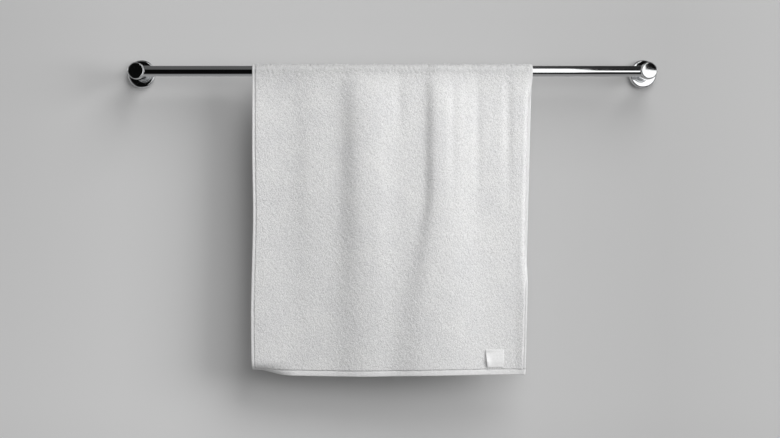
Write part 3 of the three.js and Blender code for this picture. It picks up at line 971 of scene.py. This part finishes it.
def make_fittings(side):
    """The pieces at one end of the bar."""
    end = "left" if side < 0 else "right"
    foot = (side * POST_X, 0, 0)
    head = (side * POST_X, BAR_Y, 0)
    root, slider = "wall_fittings", f"{end}_cover"
    fitting(wall_plate(f"{end}_rail_plate", foot), ZINC, f"{end}_wall_plate", root)
    for height, z in (("upper", SCREW_OFFSET), ("lower", -SCREW_OFFSET)):
        screw = wood_screw(f"{end}_{height}_wood_screw", (side * POST_X, 0, z * MM))
        fitting(screw, ZINC, f"{end}_{height}_wall_screw", root)
    fitting(post(f"{end}_rail_post", side, foot), CHROME, f"{end}_post", root)
    fitting(set_screw(f"{end}_grub_screw", foot), STEEL, f"{end}_set_screw", root)
    fitting(bush(f"{end}_rail_bush", side, head), NYLON, f"{end}_socket_bush", root)
    fitting(cover(f"{end}_rail_cover", foot), CHROME, f"{end}_cover_flange", slider)
    fitting(grip_ring(f"{end}_rubber_ring", foot), RUBBER, f"{end}_cover_grip_ring", slider)
    fitting(bar_plug(f"{end}_tube_plug", side, head), NYLON, f"{end}_bar_plug", "bar")


# ---------------------------------------------------------------- stage, light and camera


def floor_paint():
    made, nodes, links, shader = material("floor_paint")
    set_sockets(shader, Roughness=0.95, Specular_IOR_Level=0.1)
    place = nodes.new("ShaderNodeTexCoord").outputs["Object"]
    mottle = noise_node(nodes, links, place, 6, 3, 0.5)
    tint = ramp_node(nodes, links, mottle, [(0.3, 0.46), (0.7, 0.48)])
    links.new(tint, shader.inputs["Base Color"])
    return made


# How the lights rise over the wall, evened out in its paint: axis, range, centre, slope, bend and tone.
WALL_FALLOFF = [("X", -0.5, 0.5, 0, 0.4, 0.2, 0.85), ("Z", -0.6, 0.1, -0.27, 0.3, 0, 0.74)]


def wall_paint():
    """Pale paint, darker where the near lights are stronger, so that the lit wall looks even. The wall is
    painted on one side only, and is clear from behind."""
    made, nodes, links, shader = material("wall_paint")
    set_sockets(shader, Roughness=1.0, Specular_IOR_Level=0.0)
    axes = split_node(nodes, links, nodes.new("ShaderNodeTexCoord").outputs["Object"])
    tones = []
    for axis, low, high, centre, slope, bend, tone in WALL_FALLOFF:
        stops = []
        for share in np.linspace(0, 1, 6):
            x = mix(low, high, share) - centre
            stops.append((share, tone / (1 + slope * x + bend * x * x)))
        place = range_node(nodes, links, axes[axis], low, high)
        tones.append(ramp_node(nodes, links, place, stops))
    links.new(multiply_node(nodes, links, *tones), shader.inputs["Base Color"])
    clear = nodes.new("ShaderNodeBsdfTransparent")
    side = nodes.new("ShaderNodeNewGeometry")
    choice = nodes.new("ShaderNodeMixShader")
    links.new(side.outputs["Backfacing"], choice.inputs[0])
    links.new(shader.outputs[0], choice.inputs[1])
    links.new(clear.outputs[0], choice.inputs[2])
    links.new(choice.outputs[0], nodes["Material Output"].inputs["Surface"])
    return made


def rectangle(name, corners, finish):
    made = new_mesh(name, corners, [[0, 1, 2, 3]], smooth_shading=False)
    made.data.materials.append(finish)
    return made


def make_stage():
    """A wall just behind the fittings, and a floor that sends no light back to them."""
    low, high, wall_y, wide, far = -1.2, 1.6, 0.6 * MM, 3, 5
    wall_corners = [(-wide, wall_y, low), (wide, wall_y, low), (wide, wall_y, high), (-wide, wall_y, high)]
    wall = rectangle("wall", wall_corners, wall_paint())
    floor_corners = [(-far, -far, low), (far, -far, low), (far, far, low), (-far, far, low)]
    floor = rectangle("floor", floor_corners, floor_paint())
    wall.visible_glossy = False
    wall.visible_shadow = False
    floor.visible_glossy = False
    floor.visible_diffuse = False


def aim(obj, target):
    obj.rotation_euler = (Vector(target) - obj.location).to_track_quat("-Z", "Y").to_euler()


TOWEL_CENTRE = Vector((0, -0.085, -0.27))
LIGHT_DISTANCE = 3.0


def area_light(name, direction, size, power):
    data = bpy.data.lights.new(name, "AREA")
    data.shape = "DISK"
    data.size = size
    data.energy = power
    light = bpy.data.objects.new(name, data)
    light.location = TOWEL_CENTRE + Vector(direction).normalized() * LIGHT_DISTANCE
    light.visible_camera = False
    light.visible_glossy = False
    bpy.context.scene.collection.objects.link(light)
    aim(light, TOWEL_CENTRE)
    return light


def reflected_panel():
    """A tall bright panel, in front and to the right, that only polished metal sees."""
    made = bpy.data.materials.new("panel_glow")
    made.use_nodes = True
    nodes = made.node_tree.nodes
    glow = nodes.new("ShaderNodeEmission")
    glow.inputs["Strength"].default_value = 1.3
    made.node_tree.links.new(glow.outputs[0], nodes["Material Output"].inputs["Surface"])
    outline = [
        (0.12, -1.95), (0.67, -1.95), (0.74, -1.35), (2.2, -1.3), (2.2, 0.15), (0.7, 0.28), (0.69, 0.85),
        (0.695, 1.49), (0.72, 2.31), (0.77, 3.47), (0.12, 3.47),
    ]
    corners = [(x, -LIGHT_DISTANCE, z) for x, z in outline]
    panel = new_mesh("reflected_panel", corners, [list(range(len(corners)))], smooth_shading=False)
    panel.data.materials.append(made)
    panel.visible_camera = False
    panel.visible_diffuse = False
    panel.visible_shadow = False
    panel.visible_transmission = False


def add_node(nodes, links, first, second):
    made = nodes.new("ShaderNodeVectorMath")
    links.new(first, made.inputs[0])
    links.new(second, made.inputs[1])
    return made.outputs[0]


def reflected_room(nodes, links):
    """What polished metal sees: a dark room in front of the wall, paler behind it, with a dim ceiling and
    floor, and side walls that are pale above and dim below."""
    x, y, z = split_node(nodes, links, nodes.new("ShaderNodeTexCoord").outputs["Generated"])
    height = range_node(nodes, links, z, -1, 1)
    turned = range_node(nodes, links, x, -1, 1)
    behind = ramp_node(nodes, links, y, [(0.0, 0.003), (0.3, 0.32)])
    middle = ramp_node(nodes, links, height, [(0.02, 0.0), (0.05, 1.0), (0.74, 1.0), (0.78, 0.0)])
    below = ramp_node(nodes, links, height, [(0.02, 0.24), (0.05, 0.0)])
    ceiling = ramp_node(nodes, links, height, [(0.74, 0.0), (0.78, 0.095), (1.0, 0.11)])
    dimmed = ramp_node(nodes, links, turned, [(0.52, 1.0), (0.56, 0.25), (0.65, 0.25), (0.7, 1.0)])
    aside = ramp_node(nodes, links, turned, [(0.15, 0.5), (0.32, 0.0), (0.68, 0.0), (0.85, 0.7)])
    walls = ramp_node(
        nodes, links, height, [(0.2, 0.25), (0.47, 0.45), (0.5, 0.06), (0.56, 1.0), (0.7, 0.35), (0.9, 0.8)]
    )
    room = add_node(
        nodes, links,
        multiply_node(nodes, links, behind, middle),
        multiply_node(nodes, links, ceiling, dimmed),
    )
    room = add_node(nodes, links, room, below)
    return add_node(nodes, links, room, multiply_node(nodes, links, aside, walls))


def make_world():
    """Grey ambient light, a room that only polished metal sees, and a pale backdrop."""
    world = bpy.data.worlds.new("room")
    bpy.context.scene.world = world
    world.use_nodes = True
    nodes, links = world.node_tree.nodes, world.node_tree.links
    path = nodes.new("ShaderNodeLightPath").outputs
    room = reflected_room(nodes, links)
    sight = choice_node(nodes, links, path["Is Glossy Ray"], (0.2, 0.2, 0.2, 1), room)
    seen = choice_node(nodes, links, path["Is Camera Ray"], sight, (0.62, 0.63, 0.64, 1))
    links.new(seen, nodes["Background"].inputs["Color"])


def make_camera():
    """The photo's view: level, square to the wall, and as wide as view_width at the towel."""
    distance, view_width, x, z = 3.2, 1.388, -0.0044, -0.2643
    data = bpy.data.cameras.new("camera")
    data.lens = data.sensor_width * distance / view_width
    camera = bpy.data.objects.new("camera", data)
    camera.location = (x, TOWEL_CENTRE.y - distance, z)
    camera.rotation_euler = (math.pi / 2, 0, 0)
    bpy.context.scene.collection.objects.link(camera)
    bpy.context.scene.camera = camera


# ---------------------------------------------------------------- assembly

make_bar()
for end_side in (-1, 1):
    make_fittings(end_side)
towel, towel_pieces = make_towel()
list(make_stitching())
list(make_label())
make_stage()
area_light("key", (0.33, -0.58, 0.75), 2.0, 44)
area_light("side", (0.80, -0.55, 0.18), 1.8, 45)
area_light("front", (0.1, -0.95, 0.2), 1.6, 12)
rear_light = area_light("rear", (0.3, 0.85, 0.45), 2.0, 60)  # behind the wall, for views of the back
rear_light.data.cycles.max_bounces = 0
reflected_panel()
make_world()
make_camera()
bpy.context.scene.view_settings.view_transform = "Standard"
